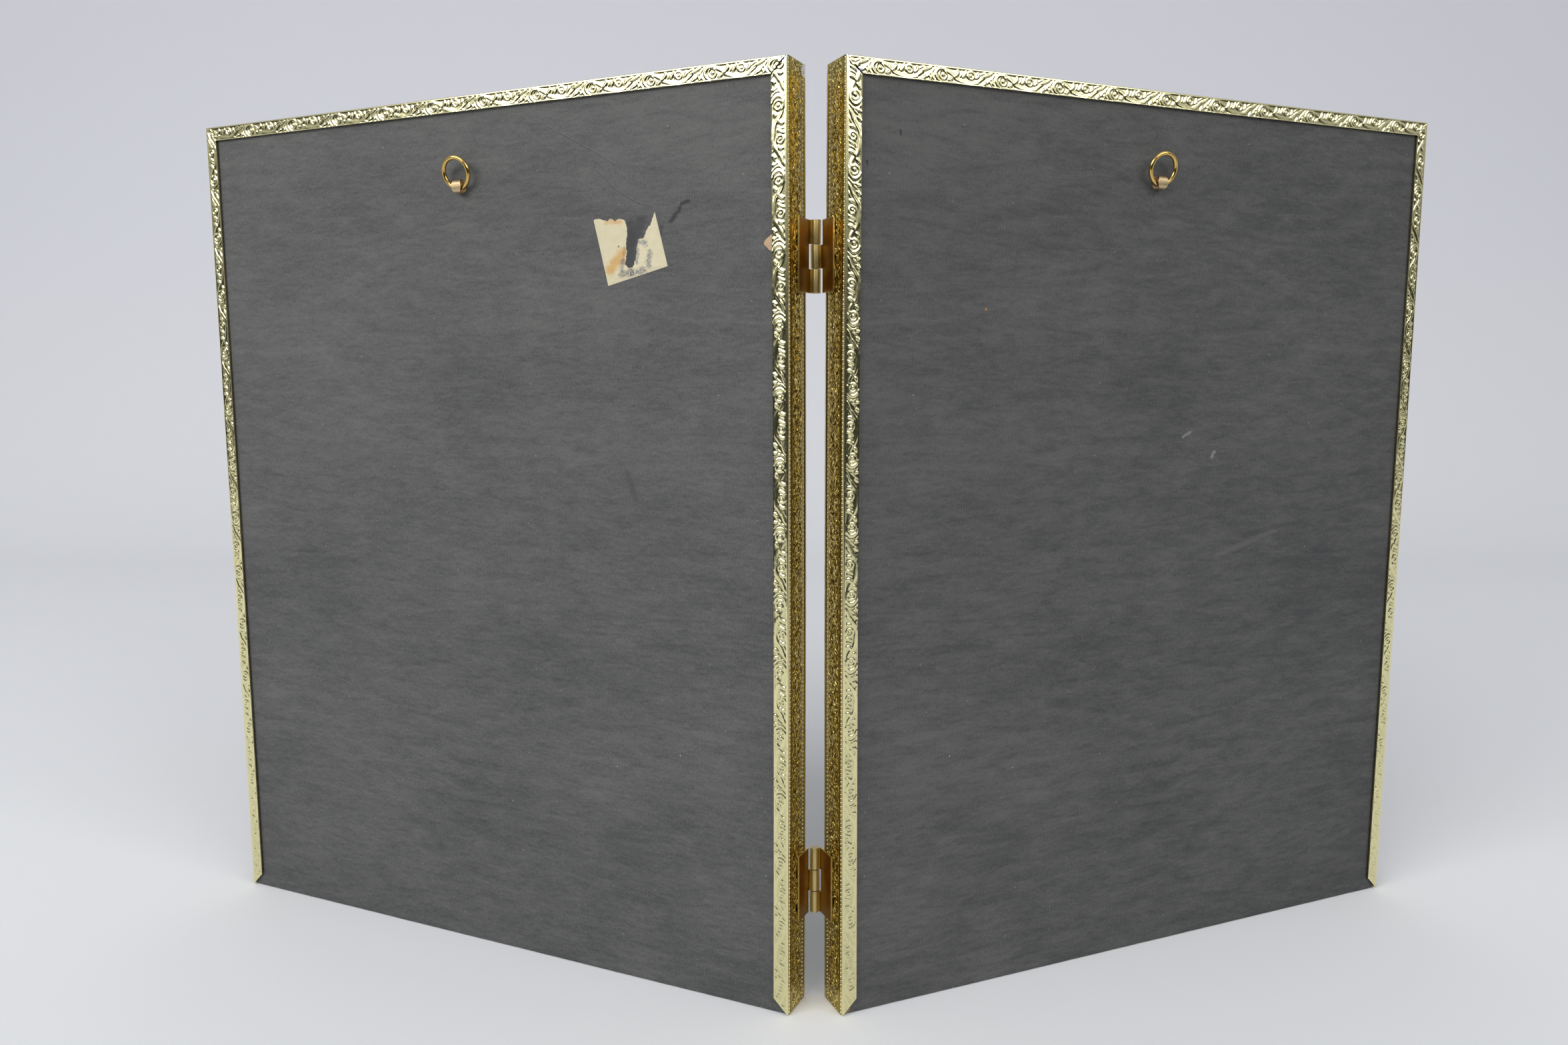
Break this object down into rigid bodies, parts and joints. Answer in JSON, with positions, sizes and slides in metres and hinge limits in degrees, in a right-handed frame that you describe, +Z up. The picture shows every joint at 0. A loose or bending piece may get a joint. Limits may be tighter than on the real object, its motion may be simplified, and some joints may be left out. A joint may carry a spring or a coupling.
{
  "type": "hinged double photo frame",
  "caption": "Hinged double picture frame of embossed gilt metal that stands open like a book or folds shut, with slide-out card backs and hanging rings.",
  "frame": {"origin": "bottom centre of the box round the open pair, on the surface that it stands on", "axes": "+X across the open pair from the left frame to the right frame as seen from behind, +Y away from the hinge side towards the picture sides, +Z up along the hinge line"},
  "size_m": [0.3922, 0.0936, 0.257],
  "materials": {
    "gilt_moulding": "stamped, worn gilt lacquer",
    "hinge_bronze": "aged bronze",
    "pin_steel": "drawn wire",
    "ring_brass": "polished wire",
    "strap_brass": "dull strip",
    "pane_glass": "clear",
    "print_paper": "blank satin photographic paper",
    "board_paper": "ribbed dark grey paper",
    "label_paper": "torn, stained paper",
    "raw_card": "torn card"
  },
  "bodies": {
    "left_frame": {"left_top_rail": "gilt_moulding", "left_bottom_rail": "gilt_moulding", "left_inner_stile": "gilt_moulding", "left_outer_stile": "gilt_moulding", "left_glass": "pane_glass", "left_print": "print_paper", "left_card_shim": "raw_card", "upper_left_leaf": "hinge_bronze", "upper_pin": "pin_steel", "lower_left_leaf": "hinge_bronze", "lower_pin": "pin_steel"},
    "right_frame": {"right_top_rail": "gilt_moulding", "right_bottom_rail": "gilt_moulding", "right_inner_stile": "gilt_moulding", "right_outer_stile": "gilt_moulding", "right_glass": "pane_glass", "right_print": "print_paper", "upper_right_leaf": "hinge_bronze", "lower_right_leaf": "hinge_bronze"},
    "left_board": {"left_backing_board": "board_paper", "left_ring_strap": "strap_brass", "left_paper_label": "label_paper"},
    "right_board": {"right_backing_board": "board_paper", "right_ring_strap": "strap_brass"},
    "left_ring": {"left_hang_ring": "ring_brass"},
    "right_ring": {"right_hang_ring": "ring_brass"}
  },
  "joints": [
    {"name": "frame_fold", "type": "hinge", "parent": "left_frame", "child": "right_frame", "pos_m": [0, -0.03429, 0.1285], "axis": [0, 0, 1], "range_deg": [-57, 133]},
    {"name": "left_board_slide", "type": "slide", "parent": "left_frame", "child": "left_board", "axis": [0, 0, -1], "range_m": [0, 0.24]},
    {"name": "left_ring_swing", "type": "hinge", "parent": "left_board", "child": "left_ring", "pos_m": [-0.10262, -0.00635, 0.231], "axis": [0.9171, -0.3987, 0], "range_deg": [-18, 165]},
    {"name": "right_board_slide", "type": "slide", "parent": "right_frame", "child": "right_board", "axis": [0, 0, -1], "range_m": [0, 0.24]},
    {"name": "right_ring_swing", "type": "hinge", "parent": "right_board", "child": "right_ring", "pos_m": [0.09849, -0.00815, 0.231], "axis": [0.9171, 0.3987, 0], "range_deg": [-18, 165]}
  ]
}
